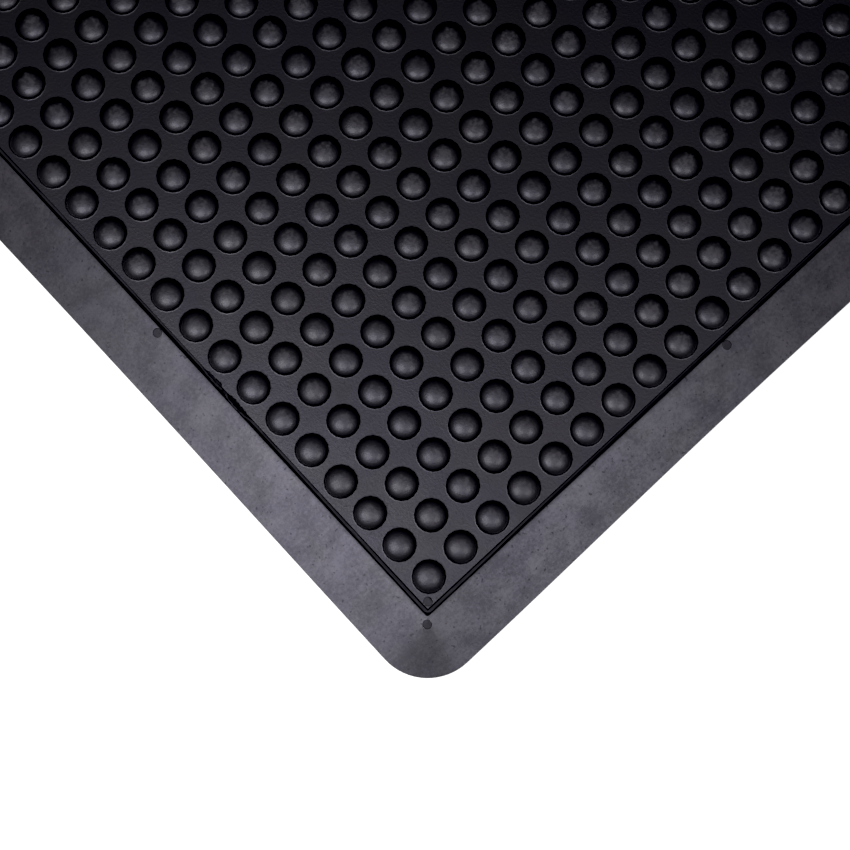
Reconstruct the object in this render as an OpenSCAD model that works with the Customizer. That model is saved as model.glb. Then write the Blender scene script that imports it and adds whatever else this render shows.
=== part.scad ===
// Rubber anti fatigue mat: a panel of hollow domes inside a bevelled border.
// The panel and the border are separate mouldings with a narrow groove between them.
// A flat band under the groove joins them, round rubber pegs hold both to the band,
// and a thin filler strip stands in the groove.
// Frame: origin at the middle of the underside, +X along the long side, +Y along the
// short side, +Z up. Front is -Y and left is -X.

/* [Domes] */
// Number of domes along the long side
domes_long = 28; // [6:1:40]
// Number of domes along the short side
domes_short = 18; // [6:1:30]
// Distance from one dome to the next, both ways
pitch = 28.75; // [28:0.25:36]
// Diameter of a dome where it meets the panel
dome_d = 23; // [20:0.5:24]
// Height of a dome above the panel
dome_rise = 5; // [4:0.25:7]
// Height of the steep foot of a dome, below its round crown
dome_foot = 1.2; // [0.8:0.1:2]
// Radius of the round hollow under each dome
hollow_r = 12; // [10:0.25:12]
// Thickness of the rubber over the hollow at the top of a dome
dome_wall = 3; // [2.5:0.25:4]

/* [Panel] */
// Thickness of the panel between the domes
panel_t = 9; // [8:0.5:12]
// Distance from the centres of the outer domes to the panel's edge
panel_margin = 15.2; // [15:0.1:18]
// Width of the groove between the panel and the border
groove_w = 3.6; // [3.6:0.1:6]

/* [Border] */
// Width of the border, from the groove to the outer edge
border_w = 39.8; // [39:0.1:45]
// Thickness of the border beside the groove
border_t = 9; // [8:0.5:12]
// Thickness of the border at its outer edge
border_edge_t = 1.5; // [1:0.25:3]
// Radius of the mat's outer corners, at which the bevel turns
corner_r = 38.5; // [36:0.5:38.5]
// Radius of the border's inner corners
inner_corner_r = 2; // [1:0.2:3]

/* [Joining band] */
// Thickness of the band, which lies flush in the underside
band_t = 2; // [1.5:0.25:2.5]
// Width of the band that lies under the border
band_lap = 8.9; // [8:0.1:12]

/* [Filler strip] */
// Width of the strip that stands in the groove
strip_w = 1.8; // [1.2:0.1:2]
// Width of the slit between the panel and the strip
strip_gap = 0.7; // [0.4:0.1:1]
// Height of the strip's top above the floor
strip_h = 7; // [4:0.25:8]
// Radius of the strip's outer corners
strip_corner_r = 3; // [1:0.5:3]

/* [Pegs] */
// Diameter of every peg
peg_d = 6.4; // [5:0.2:6.4]
// Distance from the panel's edges to the centres of the pegs in its corners
panel_peg_in = 3.6; // [3.4:0.1:3.8]
// Distance from the groove to the centres of the pegs in the border
border_peg_in = 3.5; // [3.5:0.1:4.5]
// How far the panel pegs stop short of the panel's top
panel_peg_sink = 0.25; // [0:0.05:1]

/* [Hidden] */
field_x = (domes_long - 1) / 2 * pitch;
field_y = (domes_short - 1) / 2 * pitch;
border_in = panel_margin + groove_w;
strip_in = panel_margin + strip_gap;
strip_out = strip_in + strip_w;
bevel_from = border_in + border_w - corner_r;
crown_rise = dome_rise - dome_foot;
crown_r = (pow(dome_d / 2, 2) + pow(crown_rise, 2)) / (2 * crown_rise);
dome_top = panel_t + dome_rise;
hollow_z = dome_top - dome_wall - hollow_r;
// The band starts just clear of the outer hollows, and its inner corners are cut across
// as close to the corner hollows
hollow_clear = 0.3;
band_in = hollow_r + hollow_clear;
band_out = border_in + band_lap;
band_cut = (2 - sqrt(2)) * band_in;
panel_peg_at = panel_margin - panel_peg_in;
peg_reach_x = field_x + border_in + border_peg_in;
peg_reach_y = field_y + border_in + border_peg_in;
// Overlap that makes two solids of one piece join, or a cutter pass right through
bite = 1;

corners = [["front_left", -1, -1], ["front_right", 1, -1], ["back_left", -1, 1], ["back_right", 1, 1]];

// Every peg: its name, and its place along X and along Y
panel_pegs = [for (c = corners)
    [str("panel_peg_", c[0]), c[1] * (field_x + panel_peg_at), c[2] * (field_y + panel_peg_at)]];
corner_pegs = [for (c = corners)
    [str("corner_peg_", c[0]), c[1] * peg_reach_x, c[2] * peg_reach_y]];
long_pegs = [for (c = corners)
    [str("long_peg_", c[0]), c[1] * peg_reach_x / 3, c[2] * peg_reach_y]];
short_pegs = [["short_peg_left", -peg_reach_x, 0], ["short_peg_right", peg_reach_x, 0]];
border_pegs = concat(corner_pegs, long_pegs, short_pegs);

panel_colour = [0.075, 0.073, 0.085];
border_colour = [0.11, 0.108, 0.12];
peg_colour = [0.09, 0.088, 0.1];

// A block over the field, reaching `out` past the centres of the outer domes
module field_block(out, from_z, to_z) {
    translate([-field_x - out, -field_y - out, from_z])
        cube([2 * (field_x + out), 2 * (field_y + out), to_z - from_z]);
}

// The same block with its corners rounded to the radius r
module rounded_block(out, r, from_z, to_z) {
    intersection() {
        field_block(out, from_z, to_z);
        union() {
            for (c = corners)
                translate([c[1] * (field_x + out - r), c[2] * (field_y + out - r), from_z - bite])
                    cylinder(r = r, h = to_z - from_z + 2 * bite, $fn = 64);
            translate([-field_x - out + r, -field_y - out - bite, from_z - bite])
                cube([2 * (field_x + out - r), 2 * (field_y + out + bite), to_z - from_z + 2 * bite]);
            translate([-field_x - out - bite, -field_y - out + r, from_z - bite])
                cube([2 * (field_x + out + bite), 2 * (field_y + out - r), to_z - from_z + 2 * bite]);
        }
    }
}

// The places of the domes
module at_domes() {
    for (i = [0 : domes_long - 1], j = [0 : domes_short - 1])
        translate([i * pitch - field_x, j * pitch - field_y, 0]) children();
}

module dome() {
    intersection() {
        translate([0, 0, panel_t - bite]) cylinder(d = dome_d, h = dome_rise + 2 * bite, $fn = 48);
        translate([0, 0, dome_top - crown_r]) sphere(r = crown_r, $fn = 64);
    }
}

module peg_bores(pegs) {
    for (p = pegs) translate([p[1], p[2], -bite]) cylinder(d = peg_d, h = dome_top, $fn = 32);
}

// Flat frame of the joining band, from z = from_z up to its top
module band_frame(from_z) {
    x = field_x + band_in;
    y = field_y + band_in;
    difference() {
        field_block(band_out, from_z, band_t);
        translate([0, 0, from_z - bite]) linear_extrude(band_t - from_z + 2 * bite) polygon([
            [x - band_cut, y], [-x + band_cut, y], [-x, y - band_cut], [-x, -y + band_cut],
            [-x + band_cut, -y], [x - band_cut, -y], [x, -y + band_cut], [x, y - band_cut]
        ]);
    }
}

module dome_panel() {
    color(panel_colour) difference() {
        union() {
            field_block(panel_margin, 0, panel_t);
            at_domes() dome();
        }
        at_domes() translate([0, 0, hollow_z]) sphere(r = hollow_r, $fn = 48);
        band_frame(-bite);
        peg_bores(panel_pegs);
    }
}

// Section of the bevel, from the line at which the corners turn out to the edge
module bevel_section() {
    polygon([[0, 0], [corner_r, 0], [corner_r, border_edge_t], [0, border_t]]);
}

// The border's outer form with no opening: four bevelled sides, four turned corners
module border_blank() {
    x = field_x + bevel_from;
    y = field_y + bevel_from;
    field_block(bevel_from, 0, border_t);
    for (turn = [0 : 3]) rotate(90 * turn) {
        out = turn % 2 == 0 ? x : y;
        along = turn % 2 == 0 ? y : x;
        translate([out, 0, 0]) rotate([90, 0, 0]) linear_extrude(2 * along, center = true)
            bevel_section();
        translate([out, along, 0]) rotate_extrude(angle = 90, $fn = 128) bevel_section();
    }
}

module border_ring() {
    color(border_colour) difference() {
        border_blank();
        rounded_block(border_in, inner_corner_r, -bite, border_t + bite);
        field_block(band_out, -bite, band_t);
        peg_bores(border_pegs);
    }
}

module joining_band() {
    color(peg_colour) difference() {
        band_frame(0);
        peg_bores(concat(panel_pegs, border_pegs));
    }
}

module filler_strip() {
    color(panel_colour) difference() {
        rounded_block(strip_out, strip_corner_r, band_t, strip_h);
        field_block(strip_in, band_t - bite, strip_h + bite);
    }
}

module panel_peg(place) {
    color(peg_colour) translate([place[1], place[2], 0])
        cylinder(d = peg_d, h = panel_t - panel_peg_sink, $fn = 32);
}

// A border peg is trimmed level with the bevel
module border_peg(place) {
    color(peg_colour) intersection() {
        translate([place[1], place[2], 0]) cylinder(d = peg_d, h = border_t + bite, $fn = 32);
        border_blank();
    }
}

dome_panel();
border_ring();
joining_band();
filler_strip();
for (p = panel_pegs) panel_peg(p);
for (p = border_pegs) border_peg(p);
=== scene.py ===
import math

import bmesh
import bpy
import numpy as np
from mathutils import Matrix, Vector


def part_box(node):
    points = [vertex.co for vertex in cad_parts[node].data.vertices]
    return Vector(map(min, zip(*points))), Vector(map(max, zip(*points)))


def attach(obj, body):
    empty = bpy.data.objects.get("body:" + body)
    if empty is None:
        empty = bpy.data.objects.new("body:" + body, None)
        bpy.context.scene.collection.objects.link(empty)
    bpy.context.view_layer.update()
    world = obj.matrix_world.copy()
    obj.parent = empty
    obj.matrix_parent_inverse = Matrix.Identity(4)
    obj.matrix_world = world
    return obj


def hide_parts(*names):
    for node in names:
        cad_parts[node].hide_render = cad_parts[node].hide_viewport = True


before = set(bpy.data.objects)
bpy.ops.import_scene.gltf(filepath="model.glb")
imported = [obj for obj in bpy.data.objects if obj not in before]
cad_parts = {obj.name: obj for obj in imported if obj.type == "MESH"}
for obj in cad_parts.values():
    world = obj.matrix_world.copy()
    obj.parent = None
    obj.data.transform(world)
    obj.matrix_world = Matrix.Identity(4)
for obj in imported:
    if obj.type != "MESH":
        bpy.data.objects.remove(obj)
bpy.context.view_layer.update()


# ---- Joining band ------------------------------------------------------------------------
# A flat frame cut from black sheet rubber, let in flush under the panel and the border and
# held by the pegs. Its shape comes from the frame; here it gets its matte, dusty finish, kept
# darker than the other rubber as painted shade at the bottom of the groove.

def noise(tree, place, size, detail=3.0, stretch=(1.0, 1.0, 1.0), turn=0.0, fine=0.5):
    """A noise value from 0 to 1 at object coordinates, with features about `size` metres wide,
    stretched by the three factors after a turn about Z. Each finer layer has the share `fine`
    of the one before."""
    spread = tree.nodes.new("ShaderNodeMapping")
    spread.inputs["Rotation"].default_value = (0.0, 0.0, turn)
    spread.inputs["Scale"].default_value = [1.0 / s for s in stretch]
    field = tree.nodes.new("ShaderNodeTexNoise")
    field.inputs["Scale"].default_value = 1.0 / size
    field.inputs["Detail"].default_value = detail
    field.inputs["Roughness"].default_value = fine
    tree.links.new(place, spread.inputs["Vector"])
    tree.links.new(spread.outputs["Vector"], field.inputs["Vector"])
    return field.outputs["Fac"]


def between(tree, value, low, high, to_low=0.0, to_high=1.0):
    """The value's stretch from low to high, carried to to_low .. to_high and held there."""
    step = tree.nodes.new("ShaderNodeMapRange")
    step.interpolation_type = "SMOOTHSTEP"
    ends = {"From Min": low, "From Max": high, "To Min": to_low, "To Max": to_high}
    for socket, number in ends.items():
        step.inputs[socket].default_value = number
    tree.links.new(value, step.inputs["Value"])
    return step.outputs["Result"]


def reckon(tree, how, first, second):
    """first and second joined by one sum; each may be a number or a socket."""
    node = tree.nodes.new("ShaderNodeMath")
    node.operation = how
    for socket, value in zip(node.inputs, (first, second)):
        if isinstance(value, (int, float)):
            socket.default_value = value
        else:
            tree.links.new(value, socket)
    return node.outputs["Value"]


def weighed(tree, *pairs):
    """The sum of value x weight over the (value, weight) pairs."""
    total = 0.0
    for value, weight in pairs:
        total = reckon(tree, "ADD", total, reckon(tree, "MULTIPLY", value, weight))
    return total


def blend(tree, first, second, share):
    """The first colour turned into the second by a share; colours may be sockets."""
    node = tree.nodes.new("ShaderNodeMix")
    node.data_type = "RGBA"
    for socket, value in (("A", first), ("B", second)):
        if isinstance(value, tuple):
            node.inputs[socket].default_value = (*value, 1.0)
        else:
            tree.links.new(value, node.inputs[socket])
    tree.links.new(share, node.inputs["Factor"])
    return node.outputs["Result"]


def raised(tree, shader, layers):
    """Stacks bumps, each a (value, depth in metres) pair, onto the shader's normal."""
    below = None
    for value, depth in layers:
        bump = tree.nodes.new("ShaderNodeBump")
        bump.inputs["Strength"].default_value = 1.0
        bump.inputs["Distance"].default_value = depth
        tree.links.new(value, bump.inputs["Height"])
        if below is not None:
            tree.links.new(below, bump.inputs["Normal"])
        below = bump.outputs["Normal"]
    tree.links.new(below, shader.inputs["Normal"])


def black_rubber(name, black, bloom, bloom_share, rough, swing, cloud, streak, grain, grain_depth):
    """Moulded black rubber. A pale bloom lies in clouds and in streaks on faces that look up,
    broken by the grain and missing in small dark specks. Roughness = rough +- swing by the same
    patterns, the grain stands up by grain_depth, and the sheen wanders from lilac to brown."""
    finish = bpy.data.materials.new(name)
    finish.use_nodes = True
    tree = finish.node_tree
    shader = tree.nodes["Principled BSDF"]
    place = tree.nodes.new("ShaderNodeTexCoord").outputs["Object"]
    clouds = noise(tree, place, cloud, detail=4.0)
    streaks = noise(tree, place, streak, detail=3.0, stretch=(2.5, 1.0, 1.0), turn=0.7)
    grains = noise(tree, place, grain, detail=2.5, fine=0.8)
    specks = between(tree, noise(tree, place, 1.1 * grain, detail=1.0), 0.67, 0.74)
    patches = weighed(tree, (clouds, 0.7), (streaks, 0.3))
    dusty = weighed(tree, (patches, 0.55), (grains, 0.45))
    bare, thick = 0.36, 0.64

    split = tree.nodes.new("ShaderNodeSeparateXYZ")
    facing = tree.nodes.new("ShaderNodeNewGeometry").outputs["Normal"]
    tree.links.new(facing, split.inputs["Vector"])
    upward = between(tree, split.outputs["Z"], 0.55, 0.9)
    cover = between(tree, dusty, bare, thick, 0.15 * bloom_share, bloom_share)
    colour = blend(tree, black, bloom, reckon(tree, "MULTIPLY", cover, upward))
    dark = tuple(0.5 * c for c in black)
    tree.links.new(blend(tree, colour, dark, specks), shader.inputs["Base Color"])

    matt = between(tree, dusty, bare, thick, rough + swing, rough - swing)
    tree.links.new(weighed(tree, (matt, 1.0), (specks, 0.08)), shader.inputs["Roughness"])
    shader.inputs["IOR"].default_value = 1.5
    hue = between(tree, noise(tree, place, 1.2 * cloud, detail=2.0), 0.38, 0.62)
    sheen = blend(tree, (0.835, 0.8, 1.0), (0.88, 0.845, 1.0), hue)
    tree.links.new(sheen, shader.inputs["Specular Tint"])
    cloud_depth = 0.0003 * cloud
    raised(tree, shader, [(patches, cloud_depth), (grains, grain_depth)])
    return finish, tree, shader, place


def finish_node(node, finish):
    """Gives a CAD node's own object a finish."""
    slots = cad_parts[node].data.materials
    slots.clear()
    slots.append(finish)


# Colours darker than the panel's: painted shade where the band shows at the bottom of the groove.
band_shade_finish, *_ = black_rubber(
    "band_rubber", black=(0.002, 0.002, 0.0023), bloom=(0.005, 0.0048, 0.0055), bloom_share=0.6,
    rough=0.95, swing=0.04, cloud=0.03, streak=0.006, grain=0.0022, grain_depth=0.00006)
finish_node("joining_band", band_shade_finish)


# ---- Domed panel -------------------------------------------------------------------------
# One compression moulding of black natural rubber: a flat sheet with rows of hollow domes, a
# smooth semi-gloss face from the polished mould, and worn, mottled crowns on the domes whose
# pale colour is partly dust and partly a painted highlight.

domes_long, domes_short = 28, 18
panel_margin = 0.0152
panel_low, panel_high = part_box("dome_panel")
pitch = (panel_high.x - panel_low.x - 2 * panel_margin) / (domes_long - 1)
half = pitch / 2
field = np.array([panel_high.x, panel_high.y]) - panel_margin
dome_r = 0.0115
dome_power = 2.08
dome_rise = 0.005
panel_top = panel_high.z - dome_rise
hollow_r = 0.012
hollow_top = panel_high.z - 0.003
hollow_z = hollow_top - hollow_r
band_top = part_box("joining_band")[1].z
band_in = hollow_r + 0.0003
spokes = 16
corner_steps = 4


def grid_faces(rows, columns):
    """Quads of a grid of points whose columns close into rings, as rows x columns x 4 indices."""
    here = np.arange(rows * columns).reshape(rows, columns)
    near, far = here[:-1], here[1:]
    return np.stack([near, np.roll(near, -1, 1), np.roll(far, -1, 1), far], axis=-1).reshape(-1, 4)


def loop(spots, out, z, radius=0.0, corner_out=None, steps=corner_steps):
    """One ring of points round the mat, anticlockwise from the front left corner. A side lies
    `out` beyond the outer dome centres and has a point at each spot along it; a corner is a
    quarter circle, centre + radius x (cos a, sin a)."""
    corner = field + (out if corner_out is None else corner_out) - radius
    quarter = np.linspace(0.0, math.pi / 2, steps + 1)
    along_x, along_y = spots
    side = field + out
    stretches = []
    for turn, (sx, sy) in enumerate([(-1, -1), (1, -1), (1, 1), (-1, 1)]):
        angle = quarter + math.pi + turn * math.pi / 2
        stretches.append(np.stack([sx * corner[0] + radius * np.cos(angle),
                                   sy * corner[1] + radius * np.sin(angle)], axis=-1))
        run = (along_x, along_y, -along_x, -along_y)[turn]
        edge = (-side[1], side[0], side[1], -side[0])[turn]
        line = np.stack([run, np.full_like(run, edge)], axis=-1)
        stretches.append(line if turn % 2 == 0 else line[:, ::-1])
    flat = np.concatenate(stretches)
    return np.column_stack([flat, np.full(len(flat), z)])


def centres(count):
    """Places of a row of domes about the mat's middle."""
    return (np.arange(count) - (count - 1) / 2) * pitch


def cell_spots(last):
    """Where the edges of the dome cells have points along the two sides. The outermost point
    before each corner lies `last` beyond the outer dome centre."""
    parts = []
    for count, reach in zip((domes_long, domes_short), field):
        steps = np.array([-1.0, -math.tan(math.pi / 8), 0.0, math.tan(math.pi / 8)]) * half
        spots = (centres(count)[:, None] + steps).ravel()[1:]
        spots[0], spots[-1] = -reach - last, reach + last
        parts.append(spots)
    return parts


def dome_cells(rings, edge):
    """Polar grids over every dome: rings of (radius, height) about its centre, then the edge of
    its square cell, which `edge` gives from the spoke directions and the dome centres."""
    angle = np.arange(spokes) * 2 * math.pi / spokes
    way = np.stack([np.cos(angle), np.sin(angle)], axis=-1)
    grid = np.stack(np.meshgrid(centres(domes_long), centres(domes_short), indexing="ij"), axis=-1)
    grid = grid.reshape(-1, 1, 1, 2)
    radii = np.array([r for r, _ in rings])[:, None, None]
    flat = np.concatenate([grid + radii * way, edge(grid, way)], axis=1)
    heights = np.array([z for _, z in rings] + [rings[-1][1]])[None, :, None, None]
    points = np.concatenate([flat, np.broadcast_to(heights, flat.shape[:3] + (1,))], axis=-1)
    faces = grid_faces(len(rings) + 1, spokes)
    shift = np.arange(len(points))[:, None, None] * (len(rings) + 1) * spokes
    return points.reshape(-1, 3), (faces + shift).reshape(-1, 4)


def square_edge(grid, way):
    """The cell's square: the spoke's direction, with its larger part carried out to half a pitch."""
    return grid + half * way / np.abs(way).max(axis=-1, keepdims=True)


def underside_edge(grid, way):
    """The cell's square, but no further out than the joining band, whose inner corners are cut
    across: there the direction is carried out to a regular octagon."""
    reach = np.sign(way) * (np.abs(np.sign(way) * field - grid) < half / 2)
    outer_corner = np.abs(reach).min(axis=-1, keepdims=True) > 0
    diagonal = np.abs(way).sum(axis=-1, keepdims=True) / math.sqrt(2)
    octagon = band_in * way / np.maximum(np.abs(way).max(axis=-1, keepdims=True), diagonal)
    limit = np.where(reach != 0, band_in, half)
    square = np.clip(half * way / np.abs(way).max(axis=-1, keepdims=True), -limit, limit)
    return grid + np.where(outer_corner, octagon, square)


def closed_mesh(name, parts):
    """One mesh from (points, faces) parts: points that coincide are merged, faces that this
    leaves with no area go, and all faces are turned outwards."""
    points = np.concatenate([p for p, _ in parts])
    starts = np.cumsum([0] + [len(p) for p, _ in parts[:-1]])
    faces = np.concatenate([f + s for (_, f), s in zip(parts, starts)])
    mesh = bpy.data.meshes.new(name)
    mesh.from_pydata(points.tolist(), [], faces.tolist())
    work = bmesh.new()
    work.from_mesh(mesh)
    bmesh.ops.remove_doubles(work, verts=work.verts, dist=2e-6)
    bmesh.ops.recalc_face_normals(work, faces=work.faces)
    work.to_mesh(mesh)
    work.free()
    piece = bpy.data.objects.new(name, mesh)
    bpy.context.collection.objects.link(piece)
    return piece


def bores(places, radius):
    """The (points, faces) parts of a straight round bore at each place."""
    angle = np.linspace(0.0, 2 * math.pi, 48, endpoint=False)
    ring = np.stack([radius * np.cos(angle), radius * np.sin(angle)], axis=-1)
    parts = []
    for place in places:
        rows = [np.column_stack([ring * share + place, np.full(len(ring), z)])
                for share, z in ((0, -0.001), (1, -0.001), (1, 0.02), (0, 0.02))]
        parts.append((np.concatenate(rows), grid_faces(4, len(ring))))
    return parts


def cut_away(piece, parts):
    """Takes the closed (points, faces) parts out of the piece."""
    drill = closed_mesh("drill", parts)
    cut = piece.modifiers.new("cut", "BOOLEAN")
    cut.operation, cut.solver, cut.object = "DIFFERENCE", "MANIFOLD", drill
    bpy.context.view_layer.update()
    cut_piece = piece.evaluated_get(bpy.context.evaluated_depsgraph_get())
    done = bpy.data.meshes.new_from_object(cut_piece)
    done.materials.clear()
    piece.modifiers.clear()
    piece.data = done
    bpy.data.objects.remove(drill)


def node_centre(node):
    """The middle of a CAD node, seen from above."""
    low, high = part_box(node)
    return np.array([(low.x + high.x) / 2, (low.y + high.y) / 2])


# A dome's section is a superellipse, (r / dome_r)^n + (z / dome_rise)^n = 1, down to a steep
# foot; from there a shallow dished ring runs out into the flat of the panel
def dome_point(turn):
    """Radius and rise of the dome at a turn of the superellipse, 0 at the crown."""
    bend = 2 / dome_power
    return dome_r * math.sin(turn) ** bend, dome_rise * math.cos(turn) ** bend


turns = np.radians((0, 18, 38, 58, 79))
foot_r = dome_point(turns[-1])[0]
dish_r, dish_rise, dish_tilt = dome_r + 0.00015, 0.00011, math.radians(14)
skirt_r = dish_r + 0.00065
dome_rings = [(r, panel_top + rise) for r, rise in map(dome_point, turns)]
dome_rings += [(dish_r, panel_top + dish_rise), (skirt_r, panel_top)]
hollow_turns = [0.0, math.radians(45), math.acos(-hollow_z / hollow_r)]
hollow_rings = [(hollow_r * math.sin(t), hollow_z + hollow_r * math.cos(t)) for t in hollow_turns]

# Round its edge the panel rolls over and drops straight down, then steps in over the band
top_spots = cell_spots(half * math.tan(math.pi / 8))
under_spots = cell_spots(band_in * math.tan(math.pi / 8))
roll = 0.00025
edge_corner_r = 0.0006
rim = [loop(top_spots, half, panel_top, 0.0),
       loop(top_spots, panel_margin - roll, panel_top, 0.0004)]
for a in np.radians((35, 65, 90)):
    roll_out = panel_margin - roll * (1 - math.sin(a))
    roll_z = panel_top - roll * (1 - math.cos(a))
    rim.append(loop(top_spots, roll_out, roll_z, edge_corner_r))
rim += [loop(top_spots, panel_margin, band_top, edge_corner_r),
        loop(under_spots, band_in, band_top, 0.0, band_in / math.sqrt(2)),
        loop(under_spots, band_in, 0.0, 0.0, band_in / math.sqrt(2))]
edge_part = (np.concatenate(rim), grid_faces(len(rim), len(rim[0])))

panel = closed_mesh("dome_panel_rubber", [
    dome_cells(dome_rings, square_edge), dome_cells(hollow_rings, underside_edge), edge_part])
corner_names = ("front_left", "front_right", "back_left", "back_right")
panel_pegs = ["panel_peg_" + c for c in corner_names]
bore_r = 0.0032


def nibbles():
    """A ragged cut into the panel's left edge. Seen from above it is a row of hollows, each
    depth x (1 - ((y - middle) / reach)^4), with a fine wave on top."""
    y = np.arange(-0.088, -0.034, 0.0005)
    bite = np.full_like(y, -0.0004)
    hollows = ((-0.0535, 0.0035, 0.0016), (-0.0485, 0.0075, 0.0011),
               (-0.0695, 0.0055, 0.0012), (-0.0755, 0.0065, 0.0008))
    for middle, reach, depth in hollows:
        bite = np.maximum(bite, depth * (1 - ((y - middle) / reach) ** 4))
    for wave_length, wave_depth in ((0.0037, 0.0002), (0.0017, 0.00014)):
        bite += wave_depth * np.sin(y * 2 * math.pi / wave_length)
    edge = -field[0] - panel_margin
    clear = edge - 0.002
    above, below = panel_top + 0.002, band_top - 0.0005
    section = [(edge + bite, above), (clear, above), (clear, below), (edge + 0.6 * bite, below)]
    sides = [np.column_stack([x + 0 * y, y, np.full_like(y, z)]) for x, z in section]
    rows = np.stack(sides, axis=1)
    ends = [np.broadcast_to(rows[end].mean(axis=0), rows[end].shape)[None] for end in (0, -1)]
    rows = np.concatenate([ends[0], rows, ends[1]])
    return rows.reshape(-1, 3), grid_faces(len(rows), 4)


cut_away(panel, bores([node_centre(p) for p in panel_pegs], bore_r) + [nibbles()])


def shade_domes(mesh):
    """Sets each face corner's normal. On a dome it is the superellipse's own, which goes as
    (r^(n-1) / dome_r^n, z^(n-1) / dome_rise^n); the dished ring leans out by its tilt; under the
    dome it is the hollow sphere's; and the flat of the panel gets straight up."""
    mesh.shade_smooth()
    mesh.set_sharp_from_angle(angle=math.radians(38))
    loops = len(mesh.loops)
    normals = np.empty(loops * 3)
    mesh.corner_normals.foreach_get("vector", normals)
    normals = normals.reshape(-1, 3)
    vertex = np.empty(loops, dtype=np.int64)
    mesh.loops.foreach_get("vertex_index", vertex)
    points = np.empty(len(mesh.vertices) * 3)
    mesh.vertices.foreach_get("co", points)
    points = points.reshape(-1, 3)[vertex]
    facing = np.empty(len(mesh.polygons) * 3)
    mesh.polygons.foreach_get("normal", facing)
    sizes = np.empty(len(mesh.polygons), dtype=np.int64)
    mesh.polygons.foreach_get("loop_total", sizes)
    facing = np.repeat(facing.reshape(-1, 3), sizes, axis=0)

    place = points[:, :2] + (np.array([domes_long, domes_short]) - 1) / 2 * pitch
    middle = np.clip(np.round(place / pitch), 0, [domes_long - 1, domes_short - 1]) * pitch
    off = place - middle
    away = np.linalg.norm(off, axis=1)
    rise = points[:, 2] - panel_top
    hair = 5e-6
    flat = (np.abs(rise) < hair) & (facing[:, 2] > 0.9999)
    normals[flat] = (0, 0, 1)
    on_dome = (rise > hair) & (away < foot_r + hair)
    way = off / np.maximum(away, hair)[:, None]
    lean = (np.minimum(away, dome_r) / dome_r) ** (dome_power - 1) / dome_r
    stand = (np.clip(rise, 0, dome_rise) / dome_rise) ** (dome_power - 1) / dome_rise
    dome_normal = np.column_stack([way * lean[:, None], stand])
    on_dish = (rise > hair) & (np.abs(away - dish_r) < hair)
    dish_normal = np.column_stack([way * math.sin(dish_tilt), np.full(loops, math.cos(dish_tilt))])
    on_skirt = (np.abs(rise) < hair) & (np.abs(away - skirt_r) < hair)
    ball = np.column_stack([-off, hollow_z - points[:, 2]])
    on_ball = (np.abs(np.linalg.norm(ball, axis=1) - hollow_r) < hair) & (facing[:, 2] > -0.9999)
    for mask, normal in ((on_dome, dome_normal), (on_dish, dish_normal), (on_ball, ball)):
        chosen = normal[mask]
        normals[mask] = chosen / np.linalg.norm(chosen, axis=1, keepdims=True)
    normals[on_skirt] = (0, 0, 1)
    mesh.normals_split_custom_set(normals.tolist())


shade_domes(panel.data)

panel_finish, tree, shader, place = black_rubber(
    "panel_rubber", black=(0.003, 0.003, 0.0035), bloom=(0.018, 0.0173, 0.02), bloom_share=0.5,
    rough=0.44, swing=0.05, cloud=0.03, streak=0.005, grain=0.0018, grain_depth=0.00014)

# Each crown is worn by its own amount, a random number for its square of the grid. It dulls the
# gloss and leaves a pale patch near the top of the dome, down to a ragged line: partly a film of
# dust, partly a painted highlight that gives the crown its flat bright top.
square = tree.nodes.new("ShaderNodeVectorMath")
square.operation = "SNAP"
square.inputs[1].default_value = (pitch, pitch, 1.0)
tree.links.new(place, square.inputs[0])
chance = tree.nodes.new("ShaderNodeTexWhiteNoise")
tree.links.new(square.outputs["Vector"], chance.inputs["Vector"])
height = tree.nodes.new("ShaderNodeSeparateXYZ")
tree.links.new(place, height.inputs["Vector"])
level = weighed(tree, (height.outputs["Z"], 1.0), (noise(tree, place, 0.004, detail=3.0), 0.35 * dome_rise))
crown = between(tree, level, panel_top + 0.98 * dome_rise, panel_top + 1.14 * dome_rise)
crown_wear_and_highlight = reckon(tree, "MULTIPLY", between(tree, chance.outputs["Value"], 0.0, 1.0, 0.4, 1.0), crown)
scuffs = between(tree, noise(tree, place, 0.0025, detail=3.0), 0.42, 0.6, 0.4, 1.0)
dust_and_highlight = reckon(tree, "MULTIPLY", crown_wear_and_highlight, scuffs)
plain_colour = shader.inputs["Base Color"].links[0].from_socket
# Pale crown colour: partly a film of dust, partly a painted highlight on the top of each dome.
tree.links.new(blend(tree, plain_colour, (0.045, 0.0435, 0.049), dust_and_highlight), shader.inputs["Base Color"])
plain_rough = shader.inputs["Roughness"].links[0].from_socket
worn = weighed(tree, (plain_rough, 1.0), (crown, -0.03), (dust_and_highlight, 0.13))
tree.links.new(worn, shader.inputs["Roughness"])
shader.inputs["Coat Weight"].default_value = 0.07
shader.inputs["Coat Roughness"].default_value = 0.17
panel.data.materials.append(panel_finish)
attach(panel, "root")
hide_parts("dome_panel")


# ---- Bevelled border ---------------------------------------------------------------------
# A ring moulded in one piece from a harder black compound, sloping down to a thin edge so
# that nobody trips on it. Its face is matte, with the pale mottled bloom of rubber.

border_low, border_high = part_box("border_ring")
border_out = border_high.x - field[0]
border_in = panel_margin + 0.0036
border_top = border_high.z
outer_r = 0.0385
inner_r = 0.002
bevel_from = border_out - outer_r
edge_t = 0.0015
band_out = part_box("joining_band")[1].x - field[0]
border_spots = [np.linspace(-reach - half, reach + half, count)
                for reach, count in zip(field, (66, 42))]
border_steps = 16


def bevel_height(out):
    """Height of the bevel's face: a straight line from the groove down to the thin edge."""
    return border_top - (border_top - edge_t) * (out - border_in) / (border_out - border_in)


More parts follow.
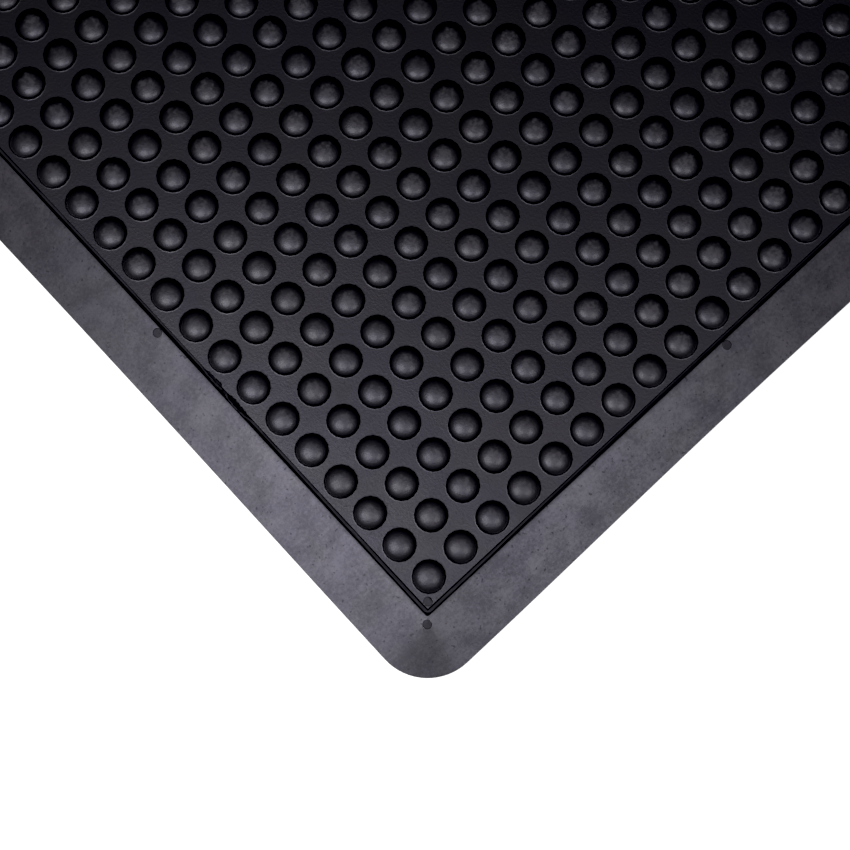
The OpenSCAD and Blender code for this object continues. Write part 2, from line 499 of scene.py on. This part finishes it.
def border_row(out, z, radius=None):
    """One ring of the border. Past the line at which the corners turn, the long sides bow in by
    up to 2 mm and the short ones by 0.9 mm: bow = most x share x sin^2(pi s / 0.5 m), where s is
    the distance from the corner's turn and share runs from 0 at that line to 1 at the edge."""
    if radius is not None:
        return loop(border_spots, out, z, radius, steps=border_steps)
    row = loop(border_spots, out, z, max(out - bevel_from, 0.0), steps=border_steps)
    share = max(out - bevel_from, 0.0) / outer_r
    for across, along, most in ((1, 0, 0.002), (0, 1, 0.0009)):
        from_turn = np.maximum(field[along] + bevel_from - np.abs(row[:, along]), 0.0)
        straight = np.abs(row[:, across]) > field[across] + out - 1e-6
        bow = most * share * np.sin(math.pi * from_turn / 0.5) ** 2 * straight
        row[:, across] -= np.sign(row[:, across]) * bow
    return row


inner_roll = 0.0003
support = 0.0003
face_in, face_out = border_in + inner_roll, border_out - 0.00015
border_rows = [border_row(border_in, band_top, inner_r)]
for a in np.radians((0, 30, 60, 90)):
    roll_out = face_in - inner_roll * math.cos(a)
    roll_z = border_top - inner_roll * (1 - math.sin(a))
    border_rows.append(border_row(roll_out, roll_z, inner_r))
slope = np.linspace(bevel_from + 0.0015, face_out - 0.003, 12)
face = [face_in + support, *slope, face_out - support, face_out]
border_rows += [border_row(out, bevel_height(out)) for out in face]
border_rows += [border_row(border_out, edge_t - 0.00025), border_row(border_out, 0.0003),
                border_row(border_out - 0.0002, 0.0)]
border_rows += [border_row(band_out, 0.0, 0.0), border_row(band_out, band_top, 0.0), border_rows[0]]
border = closed_mesh("border_ring_rubber", [
    (np.concatenate(border_rows), grid_faces(len(border_rows), len(border_rows[0])))])
border_pegs = ["corner_peg_" + c for c in corner_names] + ["long_peg_" + c for c in corner_names]
border_pegs += ["short_peg_left", "short_peg_right"]
cut_away(border, bores([node_centre(p) for p in border_pegs], bore_r))
border.data.shade_smooth()
border.data.set_sharp_from_angle(angle=math.radians(32))

border_finish, *_ = black_rubber(
    "border_rubber", black=(0.005, 0.005, 0.006), bloom=(0.06, 0.0575, 0.066), bloom_share=0.85,
    rough=0.4, swing=0.03, cloud=0.02, streak=0.006, grain=0.0022, grain_depth=0.00003)
border.data.materials.append(border_finish)
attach(border, "root")
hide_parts("border_ring")


# ---- Filler strip ------------------------------------------------------------------------
# A thin strip of soft rubber pressed into the groove by hand. It wanders a little, and on the
# left side a short length is torn and pushed over towards the border.

strip_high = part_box("filler_strip")[1]
strip_out = strip_high.x - field[0]
strip_in = strip_out - 0.0019
strip_top = strip_high.z
strip_step = 0.001
strip_spots = [np.linspace(-reach - half, reach + half, round(2 * (reach + half) / strip_step))
               for reach in field]
tear_y, tear_reach = -0.073, 0.011
scrap_y, scrap_reach = -0.0608, 0.0027
loose_y, loose_reach = -0.049, 0.009


def strip_row(across, drop, radius):
    """One long edge of the strip, `across` of the way over its width and `drop` below its top.
    It thins and sinks away from the corners by 1 - exp(-(s / reach)^2), leans over to the panel
    sooner than that, and wanders by three slow waves. At the tear, exp(-((y - tear_y) /
    tear_reach)^4), it is pushed up against the border. Beside it a scrap leans inwards, and
    beyond the scrap the strip is loose and hangs clear of the panel."""
    row = loop(strip_spots, strip_in + across * (strip_out - strip_in), strip_top, radius, steps=6)
    length = np.concatenate([[0.0], np.cumsum(np.linalg.norm(np.diff(row[:, :2], axis=0), axis=1))])
    waves = ((0.13, 0.4), (0.061, 1.9), (0.034, 3.1))
    wave = sum(np.sin(length * 2 * math.pi / w + start) for w, start in waves) / len(waves)
    from_corner = np.max(field + half - np.abs(row[:, :2]), axis=1)
    short_side = np.abs(row[:, 0]) > field[0] + half
    reach = np.where(short_side, 0.16, 0.1)
    away = 1 - np.exp(-(from_corner / reach) ** 2)
    lean = 1 - np.exp(-(from_corner / (0.6 * reach)) ** 2)
    left = row[:, 0] < -field[0] - half
    torn = np.exp(-((row[:, 1] - tear_y) / tear_reach) ** 4) * left
    scrap = np.exp(-((row[:, 1] - scrap_y) / scrap_reach) ** 4) * left
    loose = np.exp(-((row[:, 1] - loose_y) / loose_reach) ** 4) * left
    beat = np.sin(length * 2 * math.pi / 0.0071) * np.sin(length * 2 * math.pi / 0.0193)
    jumps = np.tanh(4 * beat)
    shift = across * (0.0004 - 0.0011 * away) + (0.0001 * wave - 0.00045 * lean) * (1 - torn)
    shift += torn * (0.0017 - across * 0.0005 + 0.00015 * jumps) - scrap * (1 - across) * 0.0005
    shift += loose * (0.0009 + 0.0001 * jumps)
    for axis in (0, 1):
        beyond = np.abs(row[:, axis]) > field[axis] + half
        row[:, axis] += np.where(beyond, np.sign(row[:, axis]) * shift, 0.0)
    sink = np.where(short_side, 0.0035, 0.0045) * away * (1 - torn)
    lift = torn * (0.0015 + 0.0003 * jumps) + scrap * (0.001 + 0.0005 * jumps) - loose * 0.0006
    row[:, 2] += lift - sink - drop - 0.0001 * (wave + 1)
    return row


def strip_foot(across, radius):
    """The strip's lower edge, on the band below."""
    row = strip_row(across, 0.0, radius)
    row[:, 2] = band_top
    return row


strip_corner_r = 0.0045
strip_rows = [strip_foot(0.0, 0.0), strip_row(0.0, 0.00015, 0.0), strip_row(0.08, 0.0, 0.0),
              strip_row(0.9, 0.0001, strip_corner_r - 0.0003), strip_row(1.0, 0.0004, strip_corner_r),
              strip_foot(1.0, strip_corner_r)]
strip_rows.append(strip_rows[0])
strip = closed_mesh("filler_strip_rubber", [
    (np.concatenate(strip_rows), grid_faces(len(strip_rows), len(strip_rows[0])))])
strip.data.shade_smooth()
strip.data.set_sharp_from_angle(angle=math.radians(50))

strip_finish, *_ = black_rubber(
    "strip_rubber", black=(0.003, 0.003, 0.0035), bloom=(0.007, 0.0068, 0.008), bloom_share=0.6,
    rough=0.7, swing=0.06, cloud=0.012, streak=0.002, grain=0.001, grain_depth=0.00003)
strip.data.materials.append(strip_finish)
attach(strip, "root")
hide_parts("filler_strip")


# ---- Pegs --------------------------------------------------------------------------------
# Round plugs cut from black rubber cord, pushed through panel or border into the band and
# trimmed with a knife. The cut end is duller than the moulded face and its edge is rolled.

peg_finish, *_ = black_rubber(
    "peg_rubber", black=(0.004, 0.004, 0.0045), bloom=(0.012, 0.0115, 0.0135), bloom_share=0.6,
    rough=0.6, swing=0.03, cloud=0.006, streak=0.0012, grain=0.001, grain_depth=0.000015)
peg_r = bore_r - 0.00008
peg_roll = 0.00025


def peg_mesh(name, place, face_height):
    """A round plug: rings of radius r about its centre, the top ones at the height that
    face_height gives for each point, less the roll at the rim."""
    angle = np.linspace(0.0, 2 * math.pi, 48, endpoint=False)
    way = np.stack([np.cos(angle), np.sin(angle)], axis=-1)
    rows = []
    for r, drop in ((0.0, 0.0), (0.3 * peg_r, 0.0), (0.6 * peg_r, 0.0), (0.8 * peg_r, 0.0),
                    (peg_r - peg_roll, 0.0),
                    (peg_r - 0.3 * peg_roll, 0.3 * peg_roll), (peg_r, peg_roll)):
        flat = place + r * way
        rows.append(np.column_stack([flat, face_height(flat) - drop]))
    for r in (peg_r, 0.0):
        rows.append(np.column_stack([place + r * way, np.zeros(len(way))]))
    piece = closed_mesh(name, [(np.concatenate(rows), grid_faces(len(rows), len(way)))])
    piece.data.shade_smooth()
    piece.data.set_sharp_from_angle(angle=math.radians(60))
    piece.data.materials.append(peg_finish)
    return piece


def level_with_bevel(flat):
    """Height of the bevel under each point, turned about the corner lines as the border is."""
    past = np.maximum(np.abs(flat) - field - bevel_from, 0.0)
    return bevel_height(bevel_from + np.linalg.norm(past, axis=1))


for number, node in enumerate(panel_pegs + border_pegs):
    centre = node_centre(node)
    sink = 0.00008 + 0.00006 * math.sin(2.3 * number)
    if node in panel_pegs:
        peg = peg_mesh(node + "_rubber", centre, lambda flat: panel_top - sink - 0.001 * np.clip(
            (flat - centre)[:, 0] / peg_r, 0.0, 1.0) ** 7)
    else:
        peg = peg_mesh(node + "_rubber", centre, lambda flat: level_with_bevel(flat) - sink)
    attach(peg, "root")
    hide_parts(node)


# ---- Studio ------------------------------------------------------------------------------
# A plain pale floor, two soft boxes beyond the left and front sides of the mat, and a camera
# high over the front left corner.

floor_size = 6.0
ring = np.array([(-1, -1), (1, -1), (1, 1), (-1, 1)]) * floor_size
floor_mesh = bpy.data.meshes.new("floor")
floor_mesh.from_pydata([(x, y, 0.0) for x, y in ring], [], [(0, 1, 2, 3)])
floor = bpy.data.objects.new("floor", floor_mesh)
bpy.context.collection.objects.link(floor)
floor_paint = bpy.data.materials.new("floor_paint")
floor_paint.use_nodes = True
floor_shader = floor_paint.node_tree.nodes["Principled BSDF"]
floor_shader.inputs["Base Color"].default_value = (0.9, 0.9, 0.9, 1.0)
floor_shader.inputs["Roughness"].default_value = 0.9
floor_shader.inputs["Emission Color"].default_value = (1.0, 1.0, 1.0, 1.0)
floor_shader.inputs["Emission Strength"].default_value = 0.45
floor_mesh.materials.append(floor_paint)

corner = np.array([border_low.x, border_low.y])


def soft_box(name, offset, height, aim, size, power):
    """A square lamp at an offset from the mat's front left corner, turned to face `aim`."""
    lamp = bpy.data.lights.new(name, "AREA")
    lamp.size, lamp.energy = size, power
    holder = bpy.data.objects.new(name, lamp)
    bpy.context.collection.objects.link(holder)
    holder.location = (corner[0] + offset[0], corner[1] + offset[1], height)
    to_aim = Vector((corner[0] + aim[0], corner[1] + aim[1], 0.0)) - holder.location
    holder.rotation_mode = "QUATERNION"
    holder.rotation_quaternion = to_aim.to_track_quat("-Z", "Y")
    holder.visible_camera = False
    return holder


soft_box("left_box", (-0.22, 0.24), 0.94, (0.15, 0.15), 0.42, 7.0)
soft_box("front_box", (0.23, -0.36), 1.26, (0.15, 0.15), 0.4, 5.8)

world = bpy.data.worlds.new("studio")
world.use_nodes = True
sky = world.node_tree.nodes["Background"]
sky.inputs["Color"].default_value = (1.0, 1.0, 1.0, 1.0)
seen = world.node_tree.nodes.new("ShaderNodeLightPath").outputs["Is Camera Ray"]
glow = between(world.node_tree, seen, 0.0, 1.0, 0.002, 1.0)
world.node_tree.links.new(glow, sky.inputs["Strength"])
bpy.context.scene.world = world
view = bpy.context.scene.view_settings
view.view_transform = "Standard"
view.use_curve_mapping = True
view.curve_mapping.black_level = (0.008, 0.008, 0.008)

lens = bpy.data.cameras.new("camera")
lens.lens, lens.sensor_width = 96.3, 36.0
camera = bpy.data.objects.new("camera", lens)
bpy.context.collection.objects.link(camera)
camera.location = (corner[0] + 0.0357, corner[1] - 0.0045, 1.518)
camera.rotation_euler = [math.radians(a) for a in (6.163, 1.091, -42.869)]
bpy.context.scene.camera = camera
